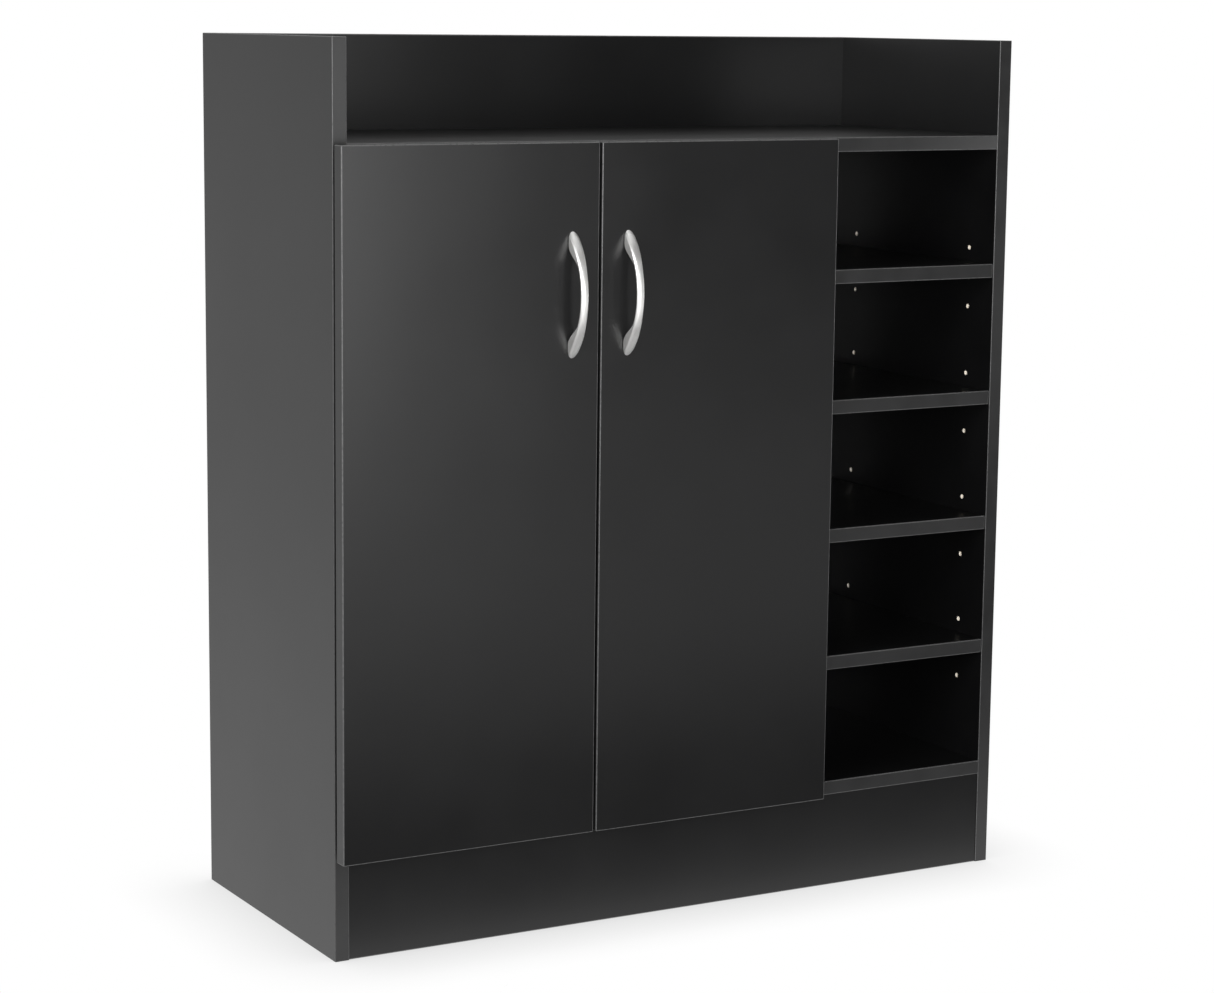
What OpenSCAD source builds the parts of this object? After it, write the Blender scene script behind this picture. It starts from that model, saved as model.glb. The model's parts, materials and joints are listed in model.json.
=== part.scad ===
// Shoe cabinet: a two-door bay, an open column of cubbies beside it, and a shallow tray on top.
// Design frame: X to the right from the left outer face, Y back from the side panels' front edges, Z up.
// place() moves it all so that the origin is the centre of the footprint, doors and handles included.

/* [Cabinet] */
// Overall width
cabinet_w = 790; // [700:10:900]
// Overall height, to the top of the side panels
cabinet_h = 900; // [860:10:1000]
// Depth of the side panels
side_depth = 323; // [300:1:360]
// Thickness of every board
board_t = 15; // [15:1:16]
// Height of the kickboard, which is also the underside of the bottom board
kick_h = 100; // [80:5:120]
// Height of the tray's walls above its floor
tray_h = 100; // [60:5:140]
// Clear width of the bay behind the doors
bay_w = 530; // [480:10:560]
// Thickness of the hardboard back
back_t = 3; // [3:1:4]
// How far the back panel is set in from the rear edges of the sides
back_inset = 9; // [5:1:15]

/* [Shelves] */
// Shelves in the open column
column_shelves = 4; // [3:1:4]
// Shelves behind the doors
bay_shelves = 3; // [2:1:3]
// How far the bay shelves stand back from the front
bay_shelf_setback = 20; // [10:5:60]
// Distance of the front peg row from the front edge
peg_front = 44.5; // [42:0.5:60]
// Distance of the rear peg row from the front edge
peg_rear = 262; // [200:1:280]
// Pitch of the spare peg holes above and below each shelf
peg_pitch = 32; // [25:1:32]

/* [Doors] */
// Door thickness
door_t = 16; // [16:1:18]
// Gap between the carcass and the back of a closed door
door_gap = 3; // [3:0.5:4]
// How far a door's hinge edge stays inside the carcass face beside it
door_reveal = 0.5; // [0.5:0.5:1]
// Gap between the two doors
meeting_gap = 3; // [2:0.5:4]
// Distance of each hinge from the end of the door
hinge_from_end = 100; // [90:5:120]

/* [Handles] */
// Length of a handle
handle_len = 125; // [120:1:140]
// Distance between its two screws
handle_holes = 96; // [90:1:100]
// How far its bow stands out from the door
handle_rise = 28; // [24:1:34]
// Width of the bow
handle_w = 8; // [6:0.5:10]
// Thickness of the bow
handle_t = 4; // [4:0.5:6]
// Width of the feet
foot_w = 10; // [10:0.5:14]
// Distance of the handle's middle from the door's free edge
handle_inset = 30; // [25:1:45]
// Height of the handle's middle above the ground
handle_z = 650; // [450:10:700]

/* [Hidden] */
$fn = 64;
cut = 1;              // how far a cutter passes through a face
play = 0.05;          // radial clearance between hardware and its bore
melamine = "#202022";
raw_board = "#1c1b1a";
hardboard = "#5a4632";
steel = "#b9bbbd";
zinc = "#a4a6a6";
beech = "#cfae7d";
clear_rubber = "#d9dad8";

// Carcass levels and lines
back_y = side_depth - back_inset - back_t;          // front face of the hardboard back
board_depth = back_y;                               // depth of the boards the back is fixed to
tray_back_y = back_y + back_t - board_t;            // front face of the board behind the tray
bottom_z = kick_h + board_t;                        // upper face of the bottom board
floor_z = cabinet_h - tray_h;                       // upper face of the top board, the tray's floor
ceiling_z = floor_z - board_t;                      // underside of the top board
divider_x = board_t + bay_w;                        // left face of the divider
column_x = divider_x + board_t;                     // left wall of the open column
right_x = cabinet_w - board_t;                      // inner face of the right side
column_w = right_x - column_x;
kick_setback = 1;
groove = 5;                                         // depth of the back panel's grooves in the sides
back_play = 0.5;                                    // play of the back panel in its grooves

// Shelves
peg_rows = [peg_front, peg_rear];
shelf_play = 1;
shelf_rear = 2;                                     // gap between a shelf and the back panel
peg_d = 5;
peg_depth = 7;
peg_len = 16;
column_clear = (ceiling_z - bottom_z - column_shelves * board_t) / (column_shelves + 1);
bay_clear = (ceiling_z - bottom_z - bay_shelves * board_t) / (bay_shelves + 1);

// Doors
door_w = (column_x - 2 * door_reveal - meeting_gap) / 2;
door_z0 = kick_h + 1.5;
door_z1 = floor_z - 0.5;
door_back_y = -door_gap;
door_face_y = -door_gap - door_t;
hinge_heights = [door_z0 + hinge_from_end, door_z1 - hinge_from_end];
handle_x = door_reveal + door_w - handle_inset;     // from the hinge side's outer face

// Concealed hinge, in its own frame: X inboard from the carcass face, Y back, Z from the hinge's middle
cup_d = 35;
cup_deep = 12;
cup_wall = 1;
cup_x = door_reveal + 22.5;                         // middle of the cup
arm_pivot = [34.8, -5.5];                           // where the link turns on the arm
cup_pivot = [door_reveal + 13, door_back_y - 3];    // where the link turns in the cup
pivot_d = 3;
knuckle_w = 8;                                      // width of the link between the ears
ear_gap = 4.2;                                      // from the hinge's middle to the inside of an ear
ear_t = 1.4;
plate_y = 37;                                       // line of the plate's screws
plate_holes = 32;                                   // distance between them
plate_t = 2;                                        // thickness of the plate's wings
plate_half = [8, 23];                               // half the wings' depth and height
rail_high = 9;                                      // height of the rail that the arm slides over
rail_play = 0.4;                                    // play between the rail and the arm
rail_front = plate_y - 17;
rail_rear = plate_y + 24;
arm_screw_y = plate_y + 12;
arm_top = 34;                                       // outer face of the arm's channel
arm_front = 6;
arm_rear = 62;
cup_lip = 1;                                        // thickness of the rim and wings on the door's back
cup_wing_r = 6;
cup_ear_w = 5.2;                                    // width of the ears inside the cup
cup_screw = [9.5, 24];                              // the cup's screws, across and along from its middle
cup_screw_bore = 11.5;
screw_d = 4;
screw_play = 0.4;                                   // extra diameter of a hole that a screw passes through
plate_screw_deep = 11;
plate_head = [7.5, 1.8];                            // diameter and height of the plate's and arm's heads
cup_head = [7, 1.4];                                // diameter and height of the cup's screw heads

// Joinery
cam_d = 15;
cam_deep = 12.5;
cam_reach = 24;                                     // from the board's end to the middle of the cam
bolt_bore = 8;
bolt_thread = 5;
thread_deep = 11;
dowel_d = 8;
dowel_in_end = 22;
dowel_in_face = 10;
joint_rows = [50, 260];                             // cam locks across the depth of a board
dowel_shift = 32;                                   // dowels lie this far inside the cam rows
dowel_rows = [joint_rows[0] + dowel_shift, joint_rows[1] - dowel_shift];
kick_mid_y = kick_setback + board_t / 2;
tray_back_mid_y = tray_back_y + board_t / 2;
divider_mid_x = divider_x + board_t / 2;
kick_mid_z = kick_h / 2;
tray_mid_z = floor_z + tray_h / 2;
edge_dowels = 30;                                   // dowels above and below the kickboard's cam lock
long_edge_dowels = [0.2, 0.4, 0.6, 0.8] * cabinet_w; // dowels along a long edge
back_screw_rows = 5;
back_screw_margin = 60;                             // from the outer faces to the first screws
back_screw_d = 3;
back_screw_len = 20;
back_screw_head = [7, 1.6];                         // diameter and height of a screw's head

// Handle feet and screws, and bumpers
foot_high = 9;
foot_long = 18;
handle_screw_in = 6;                                // length of thread inside a foot
handle_screw_head = [8, 2.2];
bumper_d = 8;
bumper_inset = 20;                                  // from the door's free edge
bumper_gap = 0.2;                                   // clear of the carcass when the door is closed

middle_y = (side_depth + door_face_y - handle_rise) / 2;

// A site is [position, rotation]: its X runs into the board's end, its Z to the face the cam opens on.
flat_ends = [for (z = [bottom_z - board_t / 2, ceiling_z + board_t / 2])
    for (side = [[board_t, [180, 0, 0]], [right_x, [0, 180, 0]]]) [side[0], z, side[1]]];
upright_ends = [for (end = [[bottom_z, [0, -90, 0]], [ceiling_z, [180, 90, 0]]]) end];
board_ends = [for (board = [[kick_mid_y, kick_mid_z], [tray_back_mid_y, tray_mid_z]])
    for (side = [[board_t, [-90, 0, 0]], [right_x, [90, 0, 180]]]) [side[0], board, side[1]]];

cam_sites = concat(
    [for (end = flat_ends) for (y = joint_rows) [[end[0], y, end[1]], end[2]]],
    [for (end = upright_ends) for (y = joint_rows) [[divider_mid_x, y, end[0]], end[1]]],
    [for (end = board_ends) [[end[0], end[1][0], end[1][1]], end[2]]]);

dowel_sites = concat(
    [for (end = flat_ends) for (y = dowel_rows) [[end[0], y, end[1]], end[2]]],
    [for (end = upright_ends) for (y = dowel_rows) [[divider_mid_x, y, end[0]], end[1]]],
    [for (end = board_ends) for (up = [-1, 1])
        [[end[0], end[1][0], end[1][1] + up * edge_dowels], end[2]]],
    [for (x = long_edge_dowels) [[x, kick_mid_y, kick_h], [0, 90, 0]]],
    [for (x = long_edge_dowels) [[x, tray_back_mid_y, floor_z], [0, -90, 0]]]);

// Screws through the back panel into the boards' rear edges, as [x, z]
back_screws = concat(
    [for (i = [0 : back_screw_rows - 1]) for (z = [bottom_z - board_t / 2, ceiling_z + board_t / 2])
        [back_screw_margin + i * (cabinet_w - 2 * back_screw_margin) / (back_screw_rows - 1), z]],
    [for (f = [0.3, 0.5, 0.7]) [divider_mid_x, bottom_z + f * (ceiling_z - bottom_z)]]);

// ---- Helpers ----

module place() translate([-cabinet_w / 2, -middle_y, 0]) children();

module block(low, high) translate(low) cube(high - low);

module at_site(site) translate(site[0]) rotate(site[1]) children();

// A rod along X from one x to another
module rod_x(d, from, to) translate([from, 0, 0]) rotate([0, 90, 0]) cylinder(d = d, h = to - from);

// A rod along Y from one y to another
module rod_y(d, from, to) translate([0, from, 0]) rotate([-90, 0, 0]) cylinder(d = d, h = to - from);

// ---- Joinery ----

module cam_bores() {
    for (site = cam_sites) at_site(site) {
        translate([cam_reach, 0, board_t / 2 - cam_deep]) cylinder(d = cam_d, h = cam_deep + cut);
        rod_x(bolt_bore, 0, cam_reach);
        rod_x(bolt_thread, -thread_deep, cut);
    }
    for (site = dowel_sites) at_site(site) rod_x(dowel_d, -dowel_in_face, dowel_in_end);
}

// A cam with a slot for the bolt's head and a cross recess in its face
module cam_lock() color(zinc) {
    slot = bolt_bore / 2 - 0.2;
    foot = board_t / 2 - cam_deep + 0.1;
    face = board_t / 2 - 0.5;
    cross = [4.5, 0.7];
    cross_deep = 1.5;
    difference() {
        translate([cam_reach, 0, foot]) cylinder(d = cam_d - 2 * play, h = face - foot);
        block([cam_reach - cam_d, -slot, -slot], [cam_reach + 2, slot, slot]);
        for (turn = [0, 90]) translate([cam_reach, 0, face - cross_deep]) rotate([0, 0, turn])
            block([-cross[0], -cross[1], 0], [cross[0], cross[1], cross_deep + cut]);
    }
}

// A bolt: thread, collar, stem and head. Each length starts a little inside the last
module cam_bolt() color(steel) {
    collar = 2;
    head = cam_reach - 4;
    stem_d = 6;
    head_d = 7;
    lap = 0.1;
    rod_x(bolt_thread - 2 * play, 0.5 - thread_deep, lap);
    rod_x(bolt_bore - 2 * play, 0, collar);
    rod_x(stem_d, collar - lap, head);
    rod_x(head_d, head - lap, cam_reach - 1);
}

module dowel() color(beech) rod_x(dowel_d - 2 * play, 1 - dowel_in_face, dowel_in_end - 1);

module cam_locks() for (site = cam_sites) at_site(site) cam_lock();

module cam_bolts() for (site = cam_sites) at_site(site) cam_bolt();

module dowels() for (site = dowel_sites) at_site(site) dowel();

// ---- Shelves and their pins ----

function column_shelf_z(i) = bottom_z + i * column_clear + (i - 1) * board_t;
function bay_shelf_z(i) = bottom_z + i * bay_clear + (i - 1) * board_t;

// Peg holes in one wall: into runs to +1 or -1 from the wall's face at x
module peg_bores(x, into, undersides) {
    for (z = undersides) for (y = peg_rows) for (step = [-1 : 1])
        translate([x, y, z - peg_d / 2 + step * peg_pitch])
            rod_x(peg_d, into > 0 ? -cut : -peg_depth, into > 0 ? peg_depth : cut);
}

module shelf_pins(left_x, right_x, undersides) color(steel)
    for (z = undersides) for (y = peg_rows) translate([0, y, z - peg_d / 2]) {
        translate([left_x, 0, 0]) rod_x(peg_d - 2 * play, 0.5 - peg_depth, peg_len - peg_depth);
        translate([right_x, 0, 0]) rod_x(peg_d - 2 * play, peg_depth - peg_len, peg_depth - 0.5);
    }

column_undersides = [for (i = [1 : column_shelves]) column_shelf_z(i)];
bay_undersides = [for (i = [1 : bay_shelves]) bay_shelf_z(i)];

module column_shelf(i) if (i <= column_shelves) color(melamine)
    block([column_x + shelf_play, 0, column_shelf_z(i)],
        [right_x - shelf_play, board_depth - shelf_rear, column_shelf_z(i) + board_t]);

module bay_shelf(i) if (i <= bay_shelves) color(melamine)
    block([board_t + shelf_play, bay_shelf_setback, bay_shelf_z(i)],
        [divider_x - shelf_play, board_depth - shelf_rear, bay_shelf_z(i) + board_t]);

// ---- Carcass boards ----

module back_groove() block([board_t - groove, back_y, kick_h],
    [right_x + groove, back_y + back_t + 0.2, floor_z]);

module side_panel(x) color(melamine) difference() {
    block([x, 0, 0], [x + board_t, side_depth, cabinet_h]);
    cam_bores();
    back_groove();
    children();
}

module left_side_panel() side_panel(0) {
    peg_bores(board_t, -1, bay_undersides);
    plate_screw_bores("left");
}

module right_side_panel() side_panel(right_x) peg_bores(right_x, 1, column_undersides);

module centre_divider() color(melamine) difference() {
    block([divider_x, 0, bottom_z], [column_x, board_depth, ceiling_z]);
    cam_bores();
    peg_bores(divider_x, 1, bay_undersides);
    peg_bores(column_x, -1, column_undersides);
    plate_screw_bores("right");
    back_screw_bores();
}

module level_board(z) color(melamine) difference() {
    block([board_t, 0, z], [right_x, board_depth, z + board_t]);
    cam_bores();
    back_screw_bores();
}

module kickboard() color(melamine) difference() {
    block([board_t, kick_setback, 0], [right_x, kick_setback + board_t, kick_h]);
    cam_bores();
}

module tray_back_board() color(melamine) difference() {
    block([board_t, tray_back_y, floor_z], [right_x, tray_back_y + board_t, cabinet_h]);
    cam_bores();
}

module back_panel() color(hardboard) difference() {
    block([board_t - groove + back_play, back_y, kick_h + back_play],
        [right_x + groove - back_play, back_y + back_t, floor_z - back_play]);
    back_screw_bores();
}

// ---- Screws in the back panel ----

module back_screw_bores() for (at = back_screws)
    translate([at[0], 0, at[1]]) rod_y(back_screw_d, back_y + back_t - back_screw_len - 0.5, side_depth);

module back_panel_screws() color(steel) for (at = back_screws) translate([at[0], back_y + back_t, at[1]]) {
    rod_y(back_screw_d - 2 * play, -back_screw_len, 0.1);
    rod_y(back_screw_head[0], 0, back_screw_head[1]);
}

// ---- Concealed hinges ----

// The frame of one hinge: left hinges sit on the left side, right hinges on the divider, mirrored
module hinge_frame(side, z) translate([side == "left" ? 0 : column_x, 0, z])
    mirror([side == "left" ? 0 : 1, 0, 0]) children();

module at_hinges(side) for (z = hinge_heights) hinge_frame(side, z) children();

// A solid of the given thickness along Z, from an outline in X and Y
module slab(low, high) translate([0, 0, low]) linear_extrude(high - low) children();

module at_pivot(pivot) translate([pivot[0], pivot[1], 0]) children();

module pivot_bore(pivot, d) at_pivot(pivot) cylinder(d = d, h = 40, center = true);

module plate_screw_bores(side) at_hinges(side)
    for (z = [-1, 1]) translate([board_t, plate_y, z * plate_holes / 2])
        rod_x(screw_d, -plate_screw_deep - 0.5, cut);

// A plate with two wings, screwed to the carcass, and a rail down its middle
module hinge_plate(side, z) color(zinc) hinge_frame(side, z) difference() {
    rail_half = ear_gap - rail_play;
    union() {
        block([board_t, plate_y - plate_half[0], -plate_half[1]],
            [board_t + plate_t, plate_y + plate_half[0], plate_half[1]]);
        block([board_t, rail_front, -rail_half], [board_t + rail_high, rail_rear, rail_half]);
    }
    for (end = [-1, 1]) translate([0, plate_y, end * plate_holes / 2])
        rod_x(screw_d + screw_play, board_t - cut, arm_top);
    translate([0, arm_screw_y, 0]) rod_x(screw_d, board_t - cut, arm_top);
}

module hinge_plate_screws() color(steel) for (side = ["left", "right"]) at_hinges(side)
    for (z = [-1, 1]) translate([board_t, plate_y, z * plate_holes / 2]) {
        rod_x(screw_d - 2 * play, -plate_screw_deep, plate_t + 0.1);
        rod_x(plate_head[0], plate_t, plate_t + plate_head[1]);
    }

// Side view of the arm: a channel over the plate, with a nose that reaches into the cup
module arm_outline() {
    nose_r = 3;
    side_high = 14;
    translate(arm_pivot) circle(r = nose_r);
    translate([arm_pivot[0] - nose_r, arm_pivot[1]]) square([2 * nose_r, 16]);
    translate([arm_top - side_high, arm_front]) square([side_high, arm_rear - arm_front]);
}

module hinge_arm(side, z) color(steel) hinge_frame(side, z) difference() {
    union() {
        for (turn = [0, 1]) mirror([0, 0, turn]) slab(ear_gap, ear_gap + ear_t) arm_outline();
        block([arm_top - ear_t, arm_front, -ear_gap - ear_t], [arm_top, arm_rear, ear_gap + ear_t]);
    }
    pivot_bore(arm_pivot, pivot_d);
    translate([0, arm_screw_y, 0]) rod_x(screw_d + screw_play, arm_top - ear_t - cut, arm_top + cut);
}

module hinge_arm_screws() color(steel) for (side = ["left", "right"]) at_hinges(side)
    translate([0, arm_screw_y, 0]) {
        rod_x(screw_d - 2 * play, board_t + 1, arm_top + 0.1);
        rod_x(plate_head[0], arm_top, arm_top + plate_head[1]);
    }

module hinge_arm_pins() color(steel) for (side = ["left", "right"]) at_hinges(side)
    at_pivot(arm_pivot) cylinder(d = pivot_d, h = 2 * (ear_gap + ear_t), center = true);

// Side view of the link: an eye at each pivot and a bar between them
module link_outline() {
    reach = cup_pivot - arm_pivot;
    bar_w = 2.4;
    translate(arm_pivot) circle(r = 3);
    translate(cup_pivot) circle(r = 2.5);
    translate(arm_pivot) rotate(atan2(reach[1], reach[0])) translate([0, -bar_w / 2])
        square([norm(reach), bar_w]);
}

module hinge_link(side, z) color(zinc) hinge_frame(side, z) difference() {
    slab(-knuckle_w / 2, knuckle_w / 2) link_outline();
    for (pivot = [arm_pivot, cup_pivot]) pivot_bore(pivot, pivot_d + 2 * play);
}

// The cup's own frame: Z runs from the door's back face into the door
module at_cup() translate([cup_x, door_back_y, 0]) rotate([90, 0, 0]) children();

// A round pot with a rim, and a wing at each end for a screw
module cup_shell() {
    bore_r = cup_d / 2;
    rim_r = bore_r + 2;
    rotate_extrude() polygon([[0, cup_deep - cup_wall], [bore_r - cup_wall, cup_deep - cup_wall],
        [bore_r - cup_wall, -cup_lip], [rim_r, -cup_lip], [rim_r, 0],
        [bore_r - play, 0], [bore_r - play, cup_deep], [0, cup_deep]]);
    difference() {
        translate([0, 0, -cup_lip]) linear_extrude(cup_lip) {
            for (end = [-1, 1]) translate([cup_screw[0], end * cup_screw[1]]) circle(r = cup_wing_r);
            translate([cup_screw[0] - cup_wing_r, -cup_screw[1]]) square([2 * cup_wing_r, 2 * cup_screw[1]]);
        }
        translate([0, 0, -cup_lip - cut]) cylinder(d = cup_d, h = cup_lip + 2 * cut);
        for (end = [-1, 1]) translate([cup_screw[0], end * cup_screw[1], -cup_lip - cut])
            cylinder(d = screw_d + screw_play, h = cup_lip + 2 * cut);
    }
}

module hinge_cup(side, z) color(steel) hinge_frame(side, z) {
    at_cup() cup_shell();
    difference() {
        for (turn = [0, 1]) mirror([0, 0, turn]) slab(ear_gap, ear_gap + ear_t)
            translate([cup_pivot[0] - cup_ear_w / 2, door_back_y - cup_deep + cup_wall / 2])
                square([cup_ear_w, cup_deep - cup_wall / 2 - 0.3]);
        pivot_bore(cup_pivot, pivot_d);
    }
}

module cup_pins(side) color(steel) at_hinges(side)
    at_pivot(cup_pivot) cylinder(d = pivot_d, h = 2 * (ear_gap + ear_t), center = true);

module at_cup_screws(side) at_hinges(side) at_cup()
    for (end = [-1, 1]) translate([cup_screw[0], end * cup_screw[1], 0]) children();

module cup_screws(side) color(steel) at_cup_screws(side) {
    translate([0, 0, -cup_lip - 0.1]) cylinder(d = screw_d - 2 * play, h = cup_screw_bore + 0.6);
    translate([0, 0, -cup_lip - cup_head[1]]) cylinder(d = cup_head[0], h = cup_head[1]);
}

// ---- Doors ----

// The frame of a door: X from its hinge side's outer face towards its free edge
module door_frame(side) hinge_frame(side, 0) children();

module at_handle_screws() for (end = [-1, 1])
    translate([handle_x, 0, handle_z + end * handle_holes / 2]) children();

module door_panel(side) color(melamine) difference() {
    door_frame(side) difference() {
        block([door_reveal, door_face_y, door_z0], [door_reveal + door_w, door_back_y, door_z1]);
        at_handle_screws() rod_y(screw_d + 1, door_face_y - cut, door_back_y + cut);
    }
    at_hinges(side) at_cup() translate([0, 0, -cut]) cylinder(d = cup_d, h = cup_deep + cut);
    at_cup_screws(side) translate([0, 0, -cut]) cylinder(d = screw_d, h = cup_screw_bore + cut);
}

// A bow that springs from two solid feet
module bow_handle(side) {
    half = handle_len / 2;
    outer_r = (half * half + handle_rise * handle_rise) / (2 * handle_rise);
    color(steel) door_frame(side) translate([handle_x, door_face_y, handle_z]) difference() {
        intersection() {
            translate([0, outer_r - handle_rise, 0]) rotate([0, 90, 0]) {
                difference() {
                    cylinder(r = outer_r, h = handle_w, center = true, $fn = 180);
                    cylinder(r = outer_r - handle_t, h = handle_w + cut, center = true, $fn = 180);
                }
                for (end = [-1, 1]) intersection() {
                    cylinder(r = outer_r, h = foot_w, center = true, $fn = 180);
                    translate([end * (half - foot_long / 2), 0, 0])
                        cube([foot_long, 4 * outer_r, foot_w], center = true);
                    translate([0, handle_rise - outer_r - foot_high / 2, 0])
                        cube([handle_len, foot_high, foot_w], center = true);
                }
            }
            block([-foot_w, -handle_rise - cut, -half], [foot_w, 0, half]);
        }
        for (end = [-1, 1]) translate([0, 0, end * handle_holes / 2])
            rod_y(screw_d, -handle_screw_in - 0.5, cut);
    }
}

module handle_screws(side) color(steel) door_frame(side) at_handle_screws() {
    rod_y(screw_d - 2 * play, door_face_y - handle_screw_in, door_back_y + 0.1);
    rod_y(handle_screw_head[0], door_back_y, door_back_y + handle_screw_head[1]);
}

module door_bumpers(side) color(clear_rubber) door_frame(side)
    for (z = [bottom_z - board_t / 2, ceiling_z + board_t / 2])
        translate([door_reveal + door_w - bumper_inset, 0, z]) rod_y(bumper_d, door_back_y, -bumper_gap);

// ---- Nodes ----

place() left_side_panel();
place() right_side_panel();
place() centre_divider();
place() level_board(ceiling_z);  // top_board
place() level_board(kick_h);  // bottom_board
place() kickboard();
place() tray_back_board();
place() back_panel();
place() bay_shelf(1);  // bay_shelf_1
place() bay_shelf(2);  // bay_shelf_2
place() bay_shelf(3);  // bay_shelf_3
place() column_shelf(1);  // column_shelf_1
place() column_shelf(2);  // column_shelf_2
place() column_shelf(3);  // column_shelf_3
place() column_shelf(4);  // column_shelf_4
place() shelf_pins(board_t, divider_x, bay_undersides);  // bay_shelf_pins
place() shelf_pins(column_x, right_x, column_undersides);  // column_shelf_pins
place() cam_locks();
place() cam_bolts();
place() dowels();
place() back_panel_screws();
place() hinge_plate("left", hinge_heights[0]);  // left_lower_hinge_plate
place() hinge_plate("left", hinge_heights[1]);  // left_upper_hinge_plate
place() hinge_plate("right", hinge_heights[0]);  // right_lower_hinge_plate
place() hinge_plate("right", hinge_heights[1]);  // right_upper_hinge_plate
place() hinge_arm("left", hinge_heights[0]);  // left_lower_hinge_arm
place() hinge_arm("left", hinge_heights[1]);  // left_upper_hinge_arm
place() hinge_arm("right", hinge_heights[0]);  // right_lower_hinge_arm
place() hinge_arm("right", hinge_heights[1]);  // right_upper_hinge_arm
place() hinge_plate_screws();
place() hinge_arm_screws();
place() hinge_arm_pins();
place() hinge_link("left", hinge_heights[0]);  // left_lower_hinge_link
place() hinge_link("left", hinge_heights[1]);  // left_upper_hinge_link
place() hinge_link("right", hinge_heights[0]);  // right_lower_hinge_link
place() hinge_link("right", hinge_heights[1]);  // right_upper_hinge_link
place() door_panel("left");  // left_door_panel
place() door_panel("right");  // right_door_panel
place() bow_handle("left");  // left_handle
place() bow_handle("right");  // right_handle
place() hinge_cup("left", hinge_heights[0]);  // left_lower_hinge_cup
place() hinge_cup("left", hinge_heights[1]);  // left_upper_hinge_cup
place() hinge_cup("right", hinge_heights[0]);  // right_lower_hinge_cup
place() hinge_cup("right", hinge_heights[1]);  // right_upper_hinge_cup
place() cup_pins("left");  // left_cup_pins
place() cup_pins("right");  // right_cup_pins
place() cup_screws("left");  // left_cup_screws
place() cup_screws("right");  // right_cup_screws
place() handle_screws("left");  // left_handle_screws
place() handle_screws("right");  // right_handle_screws
place() door_bumpers("left");  // left_door_bumpers
place() door_bumpers("right");  // right_door_bumpers
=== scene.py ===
"""The look of the shoe cabinet: rounded boards, edge bands, satin bow handles and plated fittings."""
import json
import math

import bmesh
import bpy
from mathutils import Matrix, Vector


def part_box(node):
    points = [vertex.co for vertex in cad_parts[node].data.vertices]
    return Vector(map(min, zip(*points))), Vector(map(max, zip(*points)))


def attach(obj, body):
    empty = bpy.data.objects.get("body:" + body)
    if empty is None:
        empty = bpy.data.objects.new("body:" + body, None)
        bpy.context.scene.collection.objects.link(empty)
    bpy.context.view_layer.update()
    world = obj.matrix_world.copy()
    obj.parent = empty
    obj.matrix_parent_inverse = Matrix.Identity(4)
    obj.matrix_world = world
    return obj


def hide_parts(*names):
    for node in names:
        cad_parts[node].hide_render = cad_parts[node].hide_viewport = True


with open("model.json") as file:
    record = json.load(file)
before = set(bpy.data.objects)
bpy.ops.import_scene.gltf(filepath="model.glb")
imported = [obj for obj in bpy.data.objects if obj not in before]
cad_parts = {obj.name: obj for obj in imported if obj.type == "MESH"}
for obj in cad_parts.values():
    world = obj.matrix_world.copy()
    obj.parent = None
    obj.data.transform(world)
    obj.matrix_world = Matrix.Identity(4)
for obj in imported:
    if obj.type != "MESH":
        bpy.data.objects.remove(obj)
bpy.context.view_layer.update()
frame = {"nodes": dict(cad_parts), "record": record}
NODES = frame["nodes"]
MM = 0.001
# Points closer than MERGE become one; a point closer than SAME to a plane lies in it. Both in metres
MERGE, SAME = 1e-6, 1e-5
# CAD facets that turn by less than ONE_FACE, in degrees, are one face. A face lies flat across an axis
# when its normal has more than FLAT along it
ONE_FACE, FLAT = 0.5, 0.999
BODY_OF = {n: body for body, members in frame["record"]["behaviour"]["bodies"].items() for n in members}
SLOT_OF = {s["node"]: s["material_slot"] for s in frame["record"]["subparts"]}
HINGES = [side + "_" + level for side in ("left", "right") for level in ("lower", "upper")]


# ---- Camera, lights and floor ----

CAMERA_PLACE = (-1.5633, -2.7351, 0.923)
# The camera's turn to the right, its dip, and its tilt, in degrees
CAMERA_TURNS = (29.5, 9.14, 0.62)
LENS, SENSOR_WIDTH = 88.86, 36
# Two frontal softboxes, a key from the left, an overhead, a rim from the right, and a fill by the camera.
# Each has its place, the point that it faces, its width and height in metres, and its brightness
SOFTBOXES = [
    ((0, -1.6, 0.8), (0, 0, 0.8), 0.5, 0.6, 5.5),
    ((0, -1.6, 0.35), (0, 0, 0.35), 0.5, 0.3, 2.8),
    ((-2.4, -1.6, 1.4), (0, 0, 0.5), 1.6, 1.6, 7.0),
    ((0.2, -0.2, 2.6), (0, 0, 0.5), 1.4, 1.4, 1.5),
    ((2.6, -0.45, 0.6), (0, 0, 0.5), 0.6, 1.0, 3.5),
    ((-1.1, -2.9, 0.8), (0, 0, 0.5), 0.4, 0.8, 36)]
# Brightness of the surroundings in reflections, by direction from the front (-Y) to the back
ROOM = [(-0.1, 0.04), (0.3, 0.5)]
# Brightness of the floor in reflections, by metres behind the face of the doors
FLOOR_POOLS = [(-5, 0.1), (-2, 0.75), (-1.1, 1.05), (-0.6, 0.03), (-0.25, 0.1), (-0.08, 0.5), (0, 0.95),
               (0.3, 0.9), (3, 0.68)]
# Brightness of the floor as the camera sees it, by how open it is to the sky: a painted contact shadow
CONTACT_SHADE = [(0, 0.35), (0.5, 0.8), (1, 1)]
# How far the contact shade looks for something that stands over the floor, in metres
CONTACT_REACH = 0.12
# Side of the square floor, in metres
FLOOR_SIZE = 60


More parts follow.
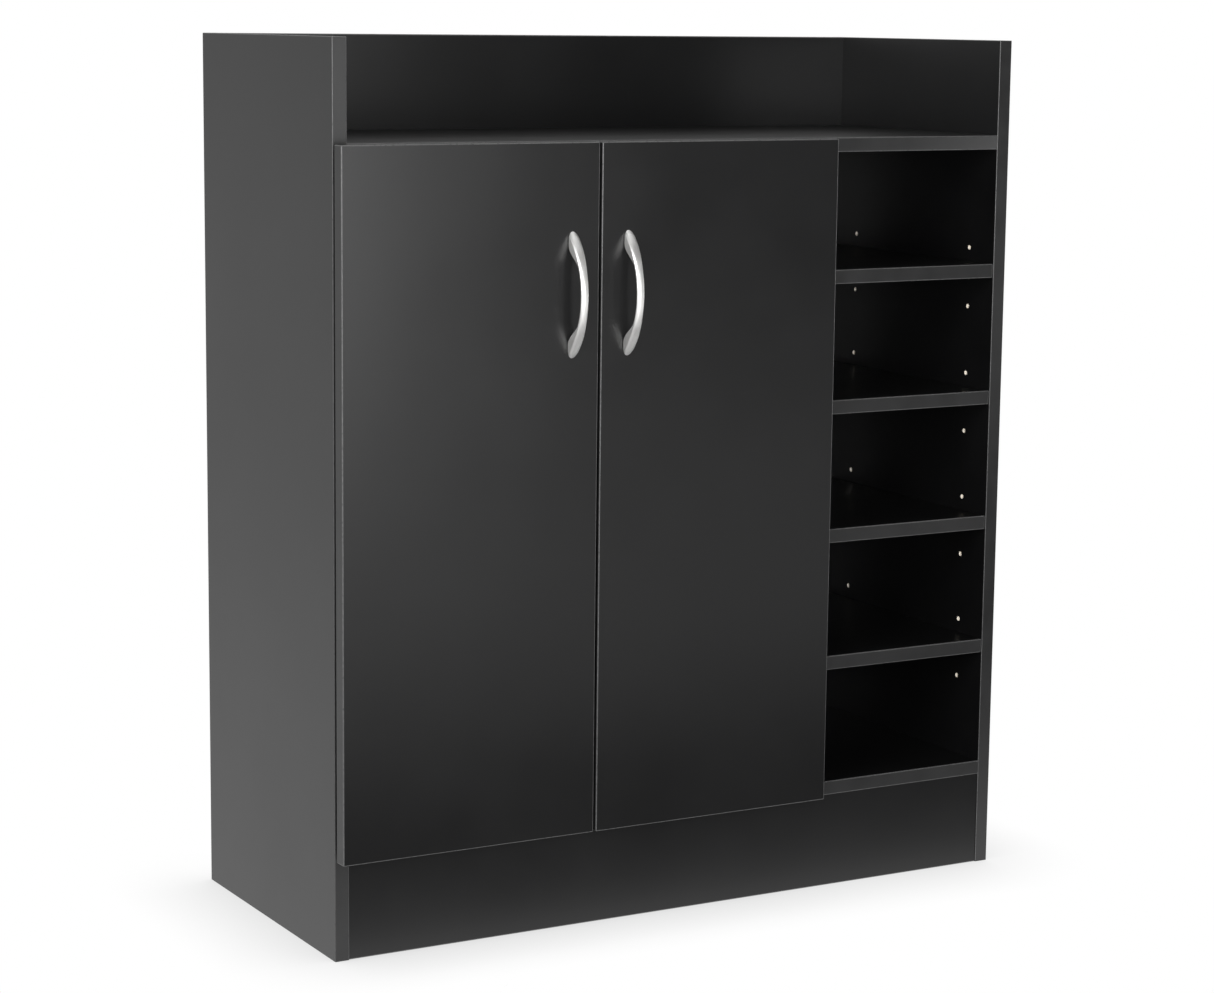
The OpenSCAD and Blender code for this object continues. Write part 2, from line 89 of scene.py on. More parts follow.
def make_camera():
    """A long-lens view from the front left, at the height of the cabinet's top."""
    yaw, pitch, roll = (math.radians(turn) for turn in CAMERA_TURNS)
    forward = Vector((math.sin(yaw) * math.cos(pitch), math.cos(yaw) * math.cos(pitch), -math.sin(pitch)))
    level_right = Vector((math.cos(yaw), -math.sin(yaw), 0))
    level_up = level_right.cross(forward)
    right = math.cos(roll) * level_right + math.sin(roll) * level_up
    up = math.cos(roll) * level_up - math.sin(roll) * level_right
    data = bpy.data.cameras.new("camera")
    data.lens, data.sensor_width, data.sensor_fit = LENS, SENSOR_WIDTH, "HORIZONTAL"
    camera = bpy.data.objects.new("camera", data)
    bpy.context.scene.collection.objects.link(camera)
    turn = Matrix((right, up, -forward)).transposed().to_4x4()
    camera.matrix_world = Matrix.Translation(CAMERA_PLACE) @ turn
    bpy.context.scene.camera = camera


def softbox(place, target, width, height, radiance):
    """A soft rectangular light of an even brightness, which the camera doesn't see."""
    data = bpy.data.lights.new("softbox", "AREA")
    data.shape, data.size, data.size_y = "RECTANGLE", width, height
    data.energy = math.pi * width * height * radiance
    light = bpy.data.objects.new("softbox", data)
    bpy.context.scene.collection.objects.link(light)
    light.location = place
    light.rotation_euler = (Vector(target) - Vector(place)).to_track_quat("-Z", "Y").to_euler()
    light.visible_camera = False


def fill_ramp(ramp, stops):
    """Sets a colour ramp from (position, colour) stops; a single number is a grey."""
    band = ramp.color_ramp
    while len(band.elements) < len(stops):
        band.elements.new(0.5)
    for element, (position, color) in zip(band.elements, stops):
        element.position = position
        element.color = (*color, 1) if isinstance(color, tuple) else (color, color, color, 1)
    return ramp.outputs["Color"]


def level_along(tree, value, stops):
    """A brightness that follows a value, from (value, brightness) stops."""
    first, last = stops[0][0], stops[-1][0]
    span = tree.nodes.new("ShaderNodeMapRange")
    span.inputs["From Min"].default_value, span.inputs["From Max"].default_value = first, last
    tree.links.new(value, span.inputs["Value"])
    ramp = tree.nodes.new("ShaderNodeValToRGB")
    tree.links.new(span.outputs["Result"], ramp.inputs["Fac"])
    return fill_ramp(ramp, [((at - first) / (last - first), level) for at, level in stops])


def seen_and_lighting(tree, seen, lighting, out):
    """The camera sees one brightness, and the object is lit by another."""
    path = tree.nodes.new("ShaderNodeLightPath")
    pick = tree.nodes.new("ShaderNodeMix")
    tree.links.new(path.outputs["Is Camera Ray"], pick.inputs["Factor"])
    tree.links.new(lighting, pick.inputs["A"])
    if seen is None:
        pick.inputs["B"].default_value = 1
    else:
        tree.links.new(seen, pick.inputs["B"])
    tree.links.new(pick.outputs["Result"], out)


def make_world():
    """A pale backdrop behind the cabinet and a dim room in front of it, both white to the camera."""
    world = bpy.data.worlds.new("studio")
    world.use_nodes = True
    bpy.context.scene.world = world
    tree = world.node_tree
    background = tree.nodes["Background"]
    background.inputs["Color"].default_value = (1, 1, 1, 1)
    direction = tree.nodes.new("ShaderNodeSeparateXYZ")
    tree.links.new(tree.nodes.new("ShaderNodeTexCoord").outputs["Generated"], direction.inputs[0])
    lighting = level_along(tree, direction.outputs["Y"], ROOM)
    seen_and_lighting(tree, None, lighting, background.inputs["Strength"])


def make_floor():
    """A seamless white floor that glows, with a painted contact shadow; in reflections it glows in painted
    pools of light and dark.
    """
    bpy.ops.mesh.primitive_plane_add(size=FLOOR_SIZE)
    floor = bpy.context.object
    floor.name = "floor"
    material = bpy.data.materials.new("floor")
    material.use_nodes = True
    tree = material.node_tree
    tree.nodes.remove(tree.nodes["Principled BSDF"])
    glow = tree.nodes.new("ShaderNodeEmission")
    tree.links.new(glow.outputs["Emission"], tree.nodes["Material Output"].inputs["Surface"])
    contact = tree.nodes.new("ShaderNodeAmbientOcclusion")
    contact.inputs["Distance"].default_value = CONTACT_REACH
    seen = level_along(tree, contact.outputs["AO"], CONTACT_SHADE)
    place = tree.nodes.new("ShaderNodeSeparateXYZ")
    tree.links.new(tree.nodes.new("ShaderNodeNewGeometry").outputs["Position"], place.inputs[0])
    door_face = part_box("left_door_panel")[0].y
    lighting = level_along(tree, place.outputs["Y"], [(door_face + at, level) for at, level in FLOOR_POOLS])
    seen_and_lighting(tree, seen, lighting, glow.inputs["Strength"])
    floor.data.materials.append(material)


def make_studio():
    """The backdrop, the floor and the softboxes, with plain display colours."""
    bpy.context.scene.view_settings.view_transform = "Standard"
    make_world()
    make_floor()
    for box in SOFTBOXES:
        softbox(*box)


make_camera()
make_studio()


# ---- Materials ----

# Most of a noise lies between these values
NOISE_REACH = (0.3, 0.7)


class Paint:
    """One procedural material on a Principled shader, with object coordinates in metres.
    Where a node gives the colour or roughness, the number given here is what a viewer without nodes shows."""

    def __init__(self, name, color, roughness, metallic=0.0, **sockets):
        self.material = bpy.data.materials.new(name)
        self.material.use_nodes = True
        self.tree = self.material.node_tree
        self.shader = self.tree.nodes["Principled BSDF"]
        self.shader.inputs["Base Color"].default_value = (*color, 1)
        self.shader.inputs["Roughness"].default_value = roughness
        self.shader.inputs["Metallic"].default_value = metallic
        for socket, value in sockets.items():
            self.shader.inputs[socket.replace("_", " ")].default_value = value
        self.coords = self.tree.nodes.new("ShaderNodeTexCoord").outputs["Object"]

    def node(self, kind, **settings):
        made = self.tree.nodes.new(kind)
        for key, value in settings.items():
            if hasattr(made, key):
                setattr(made, key, value)
            else:
                made.inputs[key].default_value = value
        return made

    def link(self, source, target):
        self.tree.links.new(source, target)

    def stretched(self, scale):
        """The coordinates, stretched: a grain that is long where the scale is small."""
        mapping = self.node("ShaderNodeMapping")
        mapping.inputs["Scale"].default_value = scale
        self.link(self.coords, mapping.inputs["Vector"])
        return mapping.outputs["Vector"]

    def noise(self, scale, detail=2.0, rough=0.5, coords=None):
        made = self.node("ShaderNodeTexNoise", Scale=scale, Detail=detail, Roughness=rough)
        self.link(coords or self.coords, made.inputs["Vector"])
        return made.outputs["Fac"]

    def ramp(self, value, stops):
        made = self.node("ShaderNodeValToRGB")
        self.link(value, made.inputs["Fac"])
        return fill_ramp(made, stops)

    def span(self, value, low, high):
        """The usual reach of a noise, stretched to run from low to high."""
        made = self.node("ShaderNodeMapRange")
        for key, number in zip(("From Min", "From Max", "To Min", "To Max"), (*NOISE_REACH, low, high)):
            made.inputs[key].default_value = number
        self.link(value, made.inputs["Value"])
        return made.outputs["Result"]

    def math(self, operation, a, b):
        made = self.node("ShaderNodeMath", operation=operation)
        for socket, value in zip(made.inputs, (a, b)):
            if isinstance(value, (int, float)):
                socket.default_value = value
            else:
                self.link(value, socket)
        return made.outputs["Value"]

    def color(self, source):
        self.link(source, self.shader.inputs["Base Color"])

    def rough(self, source):
        self.link(source, self.shader.inputs["Roughness"])

    def bump(self, height, depth, strength=1.0):
        made = self.node("ShaderNodeBump", Strength=strength, Distance=depth)
        self.link(height, made.inputs["Height"])
        self.link(made.outputs["Normal"], self.shader.inputs["Normal"])


def melamine():
    """Black melamine foil: a fine pressed pearl with faint cloudiness where it has been wiped."""
    paint = Paint("black_melamine", (0.0045, 0.0045, 0.0047), 0.33)
    pearl = paint.noise(1400, 2, 0.6)
    cloud = paint.noise(7, 4, 0.6)
    paint.color(paint.ramp(cloud, [(0.3, (0.0035, 0.0035, 0.0037)), (0.7, (0.0055, 0.0055, 0.0057))]))
    paint.rough(paint.math("ADD", paint.span(cloud, 0.29, 0.33), paint.span(pearl, 0.0, 0.04)))
    paint.bump(pearl, 0.00004, 0.5)
    return paint.material


def edge_band():
    """Black edge band: smoother than the foil, with fine drawn lines along it."""
    paint = Paint("black_edge_band", (0.015, 0.015, 0.0153), 0.42)
    cloud = paint.noise(40, 3)
    paint.color(paint.ramp(cloud, [(0.3, (0.012, 0.012, 0.0122)), (0.7, (0.018, 0.018, 0.0183))]))
    paint.rough(paint.span(cloud, 0.38, 0.46))
    paint.bump(paint.noise(900, 2), 0.00003, 0.4)
    return paint.material


def band_corner():
    """The trimmed corner of an edge band, painted paler than the rest as a painted highlight along the
    rounded edges.
    """
    # Painted highlight: the corner's colour and its mottle are set paler than the band, so that the rounded
    # edges read as bright lines.
    paint = Paint("band_corner", (0.09, 0.09, 0.0905), 0.3)
    highlight_mottle = paint.noise(350, 3)
    paint.color(paint.ramp(highlight_mottle, [(0.3, (0.07, 0.07, 0.0705)), (0.7, (0.11, 0.11, 0.1105))]))
    paint.rough(paint.span(highlight_mottle, 0.26, 0.36))
    return paint.material


def chipboard():
    """Raw chipboard: pressed flakes from pale to brown."""
    paint = Paint("raw_chipboard", (0.5, 0.37, 0.23), 0.85)
    flakes = paint.node("ShaderNodeTexVoronoi", Scale=600.0)
    paint.link(paint.stretched((1, 1, 1.6)), flakes.inputs["Vector"])
    fibre = paint.noise(900, 4, 0.7)
    mixed = paint.math("ADD", paint.math("MULTIPLY", flakes.outputs["Distance"], 0.6),
                       paint.math("MULTIPLY", fibre, 0.6))
    paint.color(paint.ramp(mixed, [(0.25, (0.66, 0.56, 0.43)), (0.5, (0.83, 0.76, 0.65)),
                                   (0.75, (0.92, 0.88, 0.8))]))
    paint.bump(mixed, 0.0003, 0.6)
    return paint.material


def hardboard():
    """The screen side of brown hardboard: a fine woven press mark over matted fibre, with dark flecks."""
    paint = Paint("brown_hardboard", (0.17, 0.1, 0.055), 0.75)
    fibre = paint.noise(500, 5, 0.7)
    mottle = paint.noise(60, 5, 0.7)
    flecks = paint.noise(1, 4, 0.7, paint.stretched((900, 900, 260)))
    weave = []
    for direction in ("X", "Z"):
        wave = paint.node("ShaderNodeTexWave", bands_direction=direction, Scale=115.0)
        paint.link(paint.coords, wave.inputs["Vector"])
        weave.append(wave.outputs["Fac"])
    press = paint.math("MULTIPLY", weave[0], weave[1])
    shade = paint.math("ADD", paint.math("MULTIPLY", fibre, 0.4), paint.math("MULTIPLY", mottle, 0.25))
    shade = paint.math("ADD", shade, paint.math("MULTIPLY", flecks, 0.35))
    paint.color(paint.ramp(shade, [(0.34, (0.085, 0.045, 0.024)), (0.46, (0.155, 0.09, 0.048)),
                                   (0.62, (0.23, 0.14, 0.078))]))
    paint.rough(paint.span(fibre, 0.65, 0.85))
    paint.bump(paint.math("ADD", press, fibre), 0.0003, 0.7)
    return paint.material


def satin_nickel():
    """Satin nickel on the handles: fine brushing along the bow, and a slight haze from hands."""
    paint = Paint("satin_nickel", (0.92, 0.915, 0.9), 0.4, 0.85)
    brush = paint.noise(1, 3, 0.6, paint.stretched((2600, 2600, 130)))
    haze = paint.noise(90, 3)
    paint.color(paint.ramp(haze, [(0.3, (0.89, 0.885, 0.87)), (0.7, (0.94, 0.935, 0.92))]))
    paint.rough(paint.math("ADD", paint.span(haze, 0.36, 0.44), paint.span(brush, 0.0, 0.08)))
    paint.bump(brush, 0.00002, 0.4)
    return paint.material


def plated_steel():
    """Nickel-plated steel: pressed fittings, screws and pins."""
    paint = Paint("plated_steel", (0.62, 0.61, 0.59), 0.25, 1.0)
    cloud = paint.noise(260, 4, 0.6)
    paint.color(paint.ramp(cloud, [(0.3, (0.57, 0.56, 0.54)), (0.7, (0.66, 0.65, 0.63))]))
    paint.rough(paint.span(cloud, 0.18, 0.3))
    paint.bump(paint.noise(1500, 2), 0.00002, 0.4)
    return paint.material


def zinc():
    """Die-cast zinc: dull, with the skin of the mould."""
    paint = Paint("zinc_alloy", (0.42, 0.43, 0.44), 0.45, 1.0)
    skin = paint.noise(800, 4, 0.65)
    cloud = paint.noise(150, 3)
    paint.color(paint.ramp(cloud, [(0.3, (0.33, 0.34, 0.35)), (0.7, (0.5, 0.51, 0.52))]))
    paint.rough(paint.span(cloud, 0.36, 0.55))
    paint.bump(skin, 0.00008, 0.5)
    return paint.material


def beech():
    """Turned beech dowels."""
    paint = Paint("beech", (0.6, 0.42, 0.24), 0.6)
    grain = paint.noise(1, 4, 0.6, paint.stretched((90, 1500, 1500)))
    paint.color(paint.ramp(grain, [(0.3, (0.5, 0.33, 0.18)), (0.7, (0.68, 0.5, 0.31))]))
    paint.bump(grain, 0.0001, 0.5)
    return paint.material


def clear_bumper():
    """Soft clear bumpers, a little cloudy."""
    paint = Paint("clear_bumper", (0.85, 0.86, 0.84), 0.2, IOR=1.46, Transmission_Weight=0.7)
    haze = paint.noise(900, 3)
    paint.rough(paint.span(haze, 0.12, 0.3))
    return paint.material


MATERIALS = {
    "black_melamine": melamine(), "edge_band": edge_band(), "band_corner": band_corner(),
    "chipboard": chipboard(), "hardboard": hardboard(), "satin_nickel": satin_nickel(),
    "plated_steel": plated_steel(), "zinc_alloy": zinc(), "beech": beech(), "clear_bumper": clear_bumper()}


# ---- Mesh helpers ----

# Edges that turn by more than this, in degrees, are real edges and not facets of a round
CREASE = 35


def shown(name, data):
    made = bpy.data.objects.new(name, data)
    bpy.context.scene.collection.objects.link(made)
    return made


def modified(mesh, kind, **settings):
    """The mesh after one modifier; the mesh that went in is thrown away."""
    carrier = shown("carrier", mesh)
    modifier = carrier.modifiers.new(kind.lower(), kind)
    for key, value in settings.items():
        setattr(modifier, key, value)
    seen = carrier.evaluated_get(bpy.context.evaluated_depsgraph_get())
    made = bpy.data.meshes.new_from_object(seen)
    bpy.data.objects.remove(carrier)
    bpy.data.meshes.remove(mesh)
    return made


def to_mesh(shape, name):
    mesh = bpy.data.meshes.new(name)
    shape.to_mesh(mesh)
    shape.free()
    return mesh


def even_shading(mesh):
    """Smooth shading that stays flat on the flats and turns only on the rounded edges."""
    mesh.shade_smooth()
    return modified(mesh, "WEIGHTED_NORMAL", weight=100)


def crisp(mesh, degrees):
    """Smooth shading, broken at the edges that turn by more than so many degrees."""
    mesh.shade_smooth()
    mesh.set_sharp_from_angle(angle=math.radians(degrees))
    return mesh


def cad_shape(node):
    """A copy of a CAD node's mesh with its triangles merged into whole faces."""
    shape = bmesh.new()
    shape.from_mesh(NODES[node].data)
    bmesh.ops.remove_doubles(shape, verts=shape.verts, dist=MERGE)
    bmesh.ops.dissolve_limit(shape, angle_limit=math.radians(ONE_FACE), verts=shape.verts, edges=shape.edges)
    return shape


def bevel(shape, edges, radius, segments):
    bmesh.ops.bevel(shape, geom=edges, offset=radius, segments=segments, profile=0.5,
                    affect="EDGES", clamp_overlap=True)


def piece(name, mesh, node, *materials):
    """A finished mesh that stands for a CAD node and rides on its body."""
    mesh.name = name
    for key in materials or (SLOT_OF[node],):
        mesh.materials.append(MATERIALS[key])
    made = shown(name, mesh)
    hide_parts(node)
    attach(made, BODY_OF[node])
    return made


# ---- Boards ----

# Material slots of a board, in order
BOARD_FINISHES = ("black_melamine", "edge_band", "band_corner", "chipboard")
# The CORNER slot carries a painted highlight along the rounded edges.
FACE, BAND, CORNER, CORE = range(4)
# Radius of the banded edges
EDGE_RADIUS = 1 * MM
SIDE_PANEL_RADIUS = 0.6 * MM
# Width of the chipped rim of a drilled hole, and the length that only the edges of a round hole stay under
CHIP = 0.3 * MM
HOLE_EDGE = 1 * MM


def board(node, thin, raw=(), radius=EDGE_RADIUS):
    """A board with its CAD holes and grooves, rounded edges, edge bands and raw chipboard.
    thin is the axis across the thickness. raw lists the sides left unbanded, whose edges stay sharp."""
    low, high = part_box(node)
    shape = cad_shape(node)

    def sides_at(edge):
        return {sign + "xyz"[axis] for axis in range(3) for sign, corner in (("-", low), ("+", high))
                if all(abs(vert.co[axis] - corner[axis]) < SAME for vert in edge.verts)}

    chips = [e for e in shape.edges if len(sides_at(e)) == 1 and e.calc_length() < HOLE_EDGE]
    bevel(shape, chips, CHIP, 1)
    rim = [e for e in shape.edges if len(sides_at(e)) >= 2 and not sides_at(e) & set(raw)]
    bevel(shape, rim, radius, 3)
    # A slanting face near the sides of two axes is a rounded edge; near one or none it is in a hole or groove
    for face in shape.faces:
        middle = face.calc_center_median()
        axis = max(range(3), key=lambda a: abs(face.normal[a]))
        side = ("-" if face.normal[axis] < 0 else "+") + "xyz"[axis]
        near = sum(min(middle[a] - low[a], high[a] - middle[a]) < radius + SAME for a in range(3))
        flat = abs(face.normal[axis]) > FLAT
        if side in raw or near == 0 or (near == 1 and not flat):
            face.material_index = CORE
        elif near >= 2 and not flat:
            face.material_index = CORNER
        else:
            face.material_index = FACE if "xyz"[axis] == thin else BAND
    mesh = even_shading(to_mesh(shape, node))
    piece(node + "_board", mesh, node, *BOARD_FINISHES)


for name in ("left_side_panel", "right_side_panel"):
    board(name, "x", raw=("-z",), radius=SIDE_PANEL_RADIUS)
board("centre_divider", "x", raw=("-z", "+z", "+y"))
for name in ("top_board", "bottom_board"):
    board(name, "z", raw=("-x", "+x", "+y"))
for name in ("kickboard", "tray_back_board"):
    board(name, "y", raw=("-x", "+x", "+z" if name == "kickboard" else "-z"))
for name in (n for n in sorted(NODES) if "_shelf_" in n and n[-1].isdigit()):
    board(name, "z")
for name in ("left_door_panel", "right_door_panel"):
    board(name, "y")


def back_panel():
    """Thin hardboard: black foil inside, and its screen-marked side behind."""
    foil, screen_side = 0, 1
    shape = cad_shape("back_panel")
    for face in shape.faces:
        face.material_index = foil if face.normal.y < -FLAT else screen_side
    mesh = even_shading(to_mesh(shape, "back"))
    piece("back_panel_sheet", mesh, "back_panel", "black_melamine", "hardboard")


back_panel()


# ---- Handles ----

def smoothstep(low, high, value):
    """0 below low and 1 above high, with a smooth rise between."""
    t = min(1.0, max(0.0, (value - low) / (high - low)))
    return t * t * (3 - 2 * t)


def soft_corners(points, cut, passes):
    """A closed outline with its corners cut back, pass by pass, until they are round."""
    for _ in range(passes):
        following = points[1:] + points[:1]
        points = [(a[0] + (b[0] - a[0]) * part, a[1] + (b[1] - a[1]) * part)
                  for a, b in zip(points, following) for part in (cut, 1 - cut)]
    return points


# Section of the bow, as parts of its width and thickness: a slightly crowned face, two chamfers, and sides
BOW_HALF = [(0.3, 0.95), (0.5, 0.55), (0.5, 0.2), (0.4, 0)]
BOW_SECTION = soft_corners([(0, 1)] + BOW_HALF + [(-x, y) for x, y in BOW_HALF[::-1]], cut=0.16, passes=2)
# In the feet, the part of the section above this level keeps to the face and the rest to the door
SECTION_SPLIT = 0.4
BOW_WIDTH, BOW_THICK = 8 * MM, 4 * MM
# Distances from the middle of the handle: where its inside fills up into a foot, and where it widens
FOOT_FILL = (28 * MM, 50 * MM)
FOOT_FLARE = (16 * MM, 50 * MM)
# Length of the rounded tips, and the least thickness, at their very ends
TIP_LONG, TIP_THICK = 7.5 * MM, 0.05 * MM
BOW_SLICES = 160


def bow_handle(side):
    """A crowned bow that widens into two rounded feet, lofted from level slices up its height."""
    node = side + "_handle"
    low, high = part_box(node)
    middle = (low + high) / 2
    half, rise, foot_width = (high.z - low.z) / 2, high.y - low.y, high.x - low.x
    outer_r = (half * half + rise * rise) / (2 * rise)
    inner_r = outer_r - BOW_THICK
    sink = outer_r - rise
    shape = bmesh.new()
    rings = []
    for i in range(BOW_SLICES + 1):
        z = -half * math.cos(math.pi * i / BOW_SLICES)
        reach = abs(z)
        outer = math.sqrt(max(0.0, outer_r ** 2 - reach ** 2)) - sink
        inner = max(0.0, math.sqrt(max(0.0, inner_r ** 2 - reach ** 2)) - sink)
        inner *= 1 - smoothstep(*FOOT_FILL, reach)
        outer = max(outer, inner + TIP_THICK)
        thick = min(BOW_THICK, outer - inner)
        width = BOW_WIDTH + (foot_width - BOW_WIDTH) * smoothstep(*FOOT_FLARE, reach)
        tip = max(0.0, reach - (half - TIP_LONG)) / TIP_LONG
        width *= math.sqrt(max(0.0, 1 - tip * tip))
        ring = []
        for x, y in BOW_SECTION:
            lift = outer - (1 - y) * thick if y > SECTION_SPLIT else inner + y * thick
            ring.append(shape.verts.new((middle.x + x * width, high.y - lift, middle.z + z)))
        rings.append(ring)
    for a, b in zip(rings, rings[1:]):
        for j in range(len(BOW_SECTION)):
            shape.faces.new((a[j - 1], a[j], b[j], b[j - 1])).smooth = True
    bmesh.ops.remove_doubles(shape, verts=shape.verts, dist=2 * MERGE)
    bmesh.ops.recalc_face_normals(shape, faces=shape.faces)
    piece(node + "_bow", to_mesh(shape, node), node)


for side in ("left", "right"):
    bow_handle(side)


# ---- Small hardware ----

def solids(node):
    """The separate solids of a CAD node, each as the list of its points."""
    shape = bmesh.new()
    shape.from_mesh(NODES[node].data)
    bmesh.ops.remove_doubles(shape, verts=shape.verts, dist=MERGE)
    seen, found = set(), []
    for first in shape.verts:
        if first in seen:
            continue
        seen.add(first)
        group, edge = [], [first]
        while edge:
            vert = edge.pop()
            group.append(vert.co.copy())
            for link in vert.link_edges:
                other = link.other_vert(vert)
                if other not in seen:
                    seen.add(other)
                    edge.append(other)
        found.append(group)
    shape.free()
    return found


class Rod:
    """A turned solid: its axis, its steps along it, and the radius at each step.
    The steps run from the thin end, so that the last is the top of a head."""

    def __init__(self, points):
        size = [max(p[a] for p in points) - min(p[a] for p in points) for a in range(3)]
        self.axis = max(range(3), key=lambda a: abs(size[a] - size[(a + 1) % 3]) + abs(size[a] - size[a - 1]))
        across = [a for a in range(3) if a != self.axis]
        centre = [(max(p[a] for p in points) + min(p[a] for p in points)) / 2 for a in range(3)]
        radius = {}
        for p in points:
            level = round(p[self.axis], 5)
            reach = math.hypot(*(p[a] - centre[a] for a in across))
            radius[level] = max(radius.get(level, 0), reach)
        levels = sorted(radius)
        self.sign = 1 if radius[levels[-1]] >= radius[levels[0]] else -1
        self.levels = levels[::self.sign]
        self.radii = [radius[level] for level in self.levels]
        self.centre = centre

    def place(self, level):
        """The matrix that stands +Z along the rod, towards its head, at a level."""
        at = list(self.centre)
        at[self.axis] = level
        up = [0, 0, 0]
        up[self.axis] = self.sign
        return Matrix.Translation(at) @ Vector(up).to_track_quat("Z", "Y").to_matrix().to_4x4()

    def length(self, first, last):
        return abs(self.levels[last] - self.levels[first])


def turned(profile, segments=40):
    """A closed solid of revolution about Z, from (radius, height) points that start and end on the axis."""
    shape = bmesh.new()
    rings = []
    for radius, height in profile:
        if radius == 0:
            rings.append([shape.verts.new((0, 0, height))])
        else:
            rings.append([shape.verts.new((radius * math.cos(a), radius * math.sin(a), height))
                          for a in (2 * math.pi * j / segments for j in range(segments))])
    for lower, upper in zip(rings, rings[1:]):
        for j in range(segments):
            k = (j + 1) % segments
            corners = [lower[j % len(lower)], lower[k % len(lower)],
                       upper[k % len(upper)], upper[j % len(upper)]]
            shape.faces.new(list(dict.fromkeys(corners)))
    bmesh.ops.recalc_face_normals(shape, faces=shape.faces)
    return shape


def arc(centre, radius, start, end, steps=5):
    """Points of an arc in the (radius, height) plane, from one angle in degrees to another."""
    return [(centre[0] + radius * math.cos(math.radians(start + (end - start) * i / steps)),
             centre[1] + radius * math.sin(math.radians(start + (end - start) * i / steps)))
            for i in range(steps + 1)]


def many(node, suffix, make):
    """One piece of a CAD node's several solids: make gives a mesh and its matrix for each one."""
    whole = bmesh.new()
    for points in solids(node):
        mesh, place = make(Rod(points))
        part = mesh.copy()
        part.transform(place)
        whole.from_mesh(part)
        bpy.data.meshes.remove(part)
    return piece(node + suffix, to_mesh(whole, node), node)


SHAPES = {}


def kept(key, build):
    """A mesh that several solids share, built once."""
    if key not in SHAPES:
        SHAPES[key] = build()
    return SHAPES[key]


SCREW_PITCH = 1.1 * MM
HEAD_CHAMFER = 0.1 * MM


def cross_head(radius, height):
    """A domed screw head with a cross recess that narrows downwards."""
    crown = 0.35 * height
    dome = radius * radius / (2 * crown) + crown / 2
    spread = math.degrees(math.asin(radius / dome))
    profile = [(0, 0), (radius - HEAD_CHAMFER, 0), (radius, HEAD_CHAMFER)]
    profile += arc((0, height - dome), dome, 90 - spread, 90, steps=6)[:-1] + [(0, height)]
    head = to_mesh(turned(profile, segments=48), "head")
    cutter = bmesh.new()
    wing, slot, deep, floor_taper = 0.58 * radius, 0.15 * radius, 0.75 * height, 0.45
    for turn in (0, math.pi / 2):
        block = bmesh.ops.create_cube(cutter, size=1)["verts"]
        for vert in block:
            taper = 1 if vert.co.z > 0 else floor_taper
            vert.co = Vector((vert.co.x * 2 * wing * taper, vert.co.y * 2 * slot * taper,
                              height + crown if vert.co.z > 0 else height - deep))
        bmesh.ops.rotate(cutter, verts=block, matrix=Matrix.Rotation(turn, 3, "Z"))
    tool = shown("cutter", to_mesh(cutter, "cutter"))
    cut = modified(head, "BOOLEAN", object=tool, operation="DIFFERENCE", solver="EXACT", use_self=True)
    bpy.data.objects.remove(tool)
    return crisp(cut, CREASE)


def thread(radius, length, pitch):
    """A threaded shank from z = 0 down to a blunt point."""
    shape = bmesh.new()
    segments, rows_in_turn, depth = 20, 4, 0.14 * radius
    tip, tip_narrows = 1.6 * radius, 0.65
    rows = int(length / (pitch / rows_in_turn))
    rings = []
    for i in range(rows + 1):
        z = -length * i / rows
        ring = []
        for j in range(segments):
            turn = j / segments
            phase = (z / pitch - turn) % 1
            r = radius - depth * (1 - abs(2 * phase - 1)) * smoothstep(0, pitch, -z)
            r *= 1 - tip_narrows * max(0.0, 1 - (length + z) / tip)
            angle = 2 * math.pi * turn
            ring.append(shape.verts.new((r * math.cos(angle), r * math.sin(angle), z)))
        rings.append(ring)
    for a, b in zip(rings, rings[1:]):
        for j in range(segments):
            k = (j + 1) % segments
            shape.faces.new((a[j], a[k], b[k], b[j])).smooth = True
    shape.faces.new(rings[0])
    shape.faces.new(rings[-1])
    bmesh.ops.recalc_face_normals(shape, faces=shape.faces)
    return shape


def screw(rod):
    """A cross-head screw with a threaded shank, to the size of a CAD screw."""
    head, shank = rod.length(1, 2), rod.length(0, 1)

    def build():
        shape = thread(rod.radii[0], shank, SCREW_PITCH)
        shape.from_mesh(cross_head(rod.radii[2], head))
        return to_mesh(shape, "screw")
    return kept(("screw", round(rod.radii[2], 5), round(shank, 5)), build), rod.place(rod.levels[1])


for name in ("hinge_plate_screws", "hinge_arm_screws", "left_cup_screws", "right_cup_screws",
             "left_handle_screws", "right_handle_screws", "back_panel_screws"):
    many(name, "_cross_head", screw)


HINGE_PIN_ROUNDING, SHELF_PIN_ROUNDING = 0.4 * MM, 0.8 * MM


def round_ended(rod, rounding):
    """A pin with rounded ends."""
    radius, length = rod.radii[0], rod.length(0, -1)

    def build():
        profile = ([(0, 0)] + arc((radius - rounding, rounding), rounding, -90, 0)
                   + arc((radius - rounding, length - rounding), rounding, 0, 90) + [(0, length)])
        return even_shading(to_mesh(turned(profile), "pin"))
    return kept(("pin", round(radius, 5), round(length, 5)), build), rod.place(rod.levels[0])


for name in ("hinge_arm_pins", "left_cup_pins", "right_cup_pins"):
    many(name, "_turned", lambda rod: round_ended(rod, HINGE_PIN_ROUNDING))
for name in ("bay_shelf_pins", "column_shelf_pins"):
    many(name, "_turned", lambda rod: round_ended(rod, SHELF_PIN_ROUNDING))


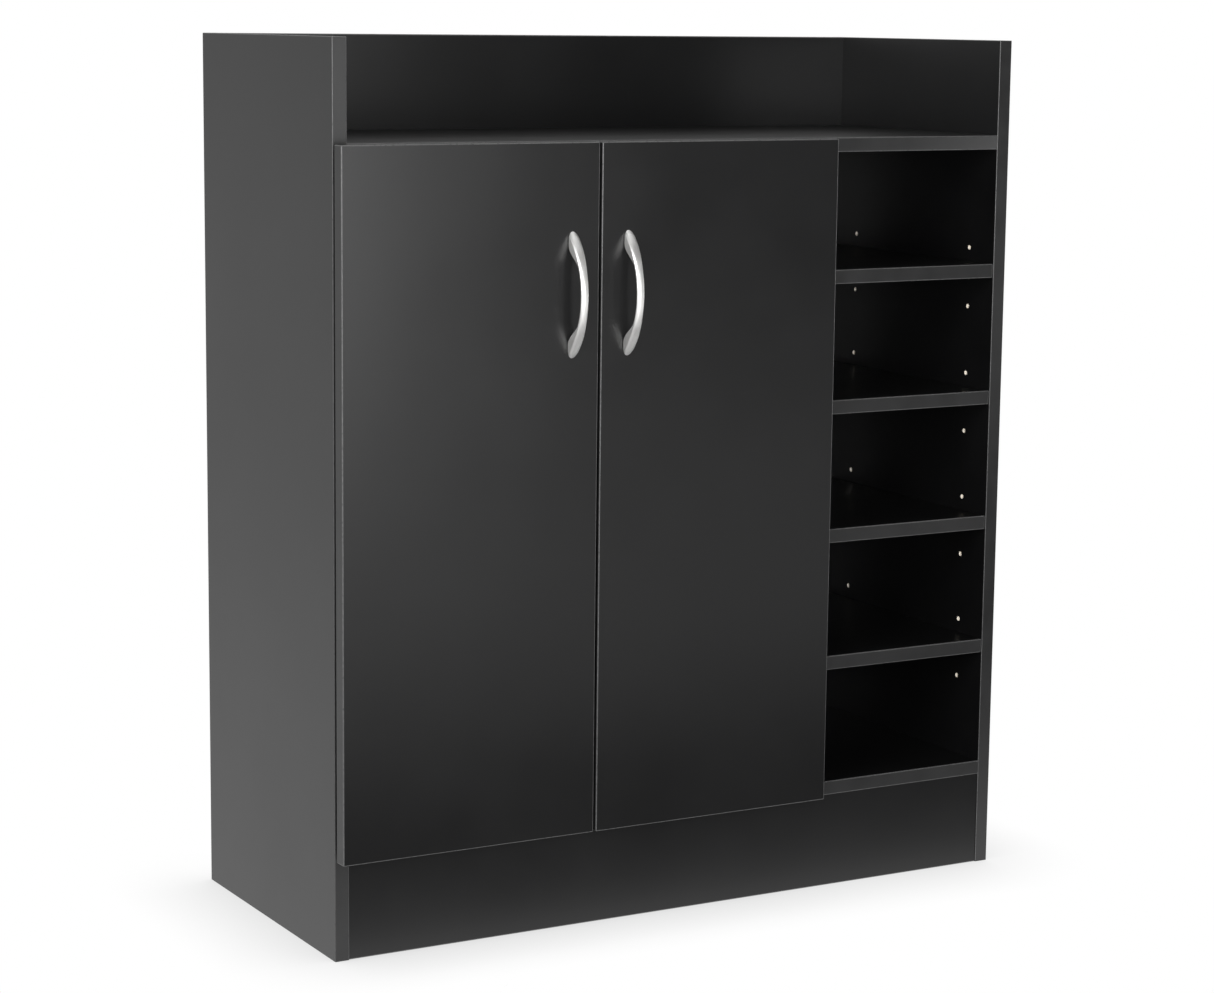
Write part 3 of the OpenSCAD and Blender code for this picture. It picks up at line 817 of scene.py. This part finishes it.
def fluted_dowel(rod):
    """A dowel with chamfered ends and glue flutes."""
    radius, length, chamfer = rod.radii[0], rod.length(0, -1), 1 * MM
    flutes, flute_depth, flute_crease = 20, 0.05, 30

    def build():
        shape = turned([(0, 0), (radius - chamfer, 0), (radius, chamfer), (radius, length - chamfer),
                        (radius - chamfer, length), (0, length)], segments=4 * flutes)
        for vert in shape.verts:
            wave = math.cos(flutes * math.atan2(vert.co.y, vert.co.x))
            vert.co.xy *= 1 - flute_depth * (1 - wave) / 2
        return crisp(to_mesh(shape, "dowel"), flute_crease)
    return kept("dowel", build), rod.place(rod.levels[0])


many("dowels", "_fluted", fluted_dowel)


def bumper(rod):
    """A soft dome with a flat foot, stuck to the back of a door."""
    radius, height, steps = rod.radii[0], rod.length(0, -1), 10

    def build():
        foot = 0.3 * height
        profile = [(0, 0), (radius, 0), (radius, foot)]
        profile += [(radius * math.cos(a), foot + (height - foot) * math.sin(a))
                    for a in (math.pi / 2 * i / steps for i in range(1, steps))] + [(0, height)]
        return even_shading(to_mesh(turned(profile), "bumper"))
    return kept("bumper", build), rod.place(rod.levels[0])


for side in ("left", "right"):
    many(side + "_door_bumpers", "_domed", bumper)


# ---- Hinges and cams: CAD shapes with their pressed or cast edges rounded ----

# Edge radius of each kind of hinge part, cam lock and cam bolt
HINGE_ROUNDINGS = {"plate": 0.3 * MM, "arm": 0.2 * MM, "link": 0.3 * MM, "cup": 0.15 * MM}
CAM_ROUNDINGS = {"cam_locks": 0.15 * MM, "cam_bolts": 0.2 * MM}


def rounded(node, radius):
    """The node's CAD shape with its sharp edges rounded off."""
    shape = cad_shape(node)
    sharp = [e for e in shape.edges if e.is_manifold and e.calc_face_angle(0) > math.radians(CREASE)]
    bevel(shape, sharp, radius, 2)
    piece(node + "_rounded", even_shading(to_mesh(shape, node)), node)


for hinge in HINGES:
    for part, radius in HINGE_ROUNDINGS.items():
        rounded(hinge + "_hinge_" + part, radius)
for name, radius in CAM_ROUNDINGS.items():
    rounded(name, radius)
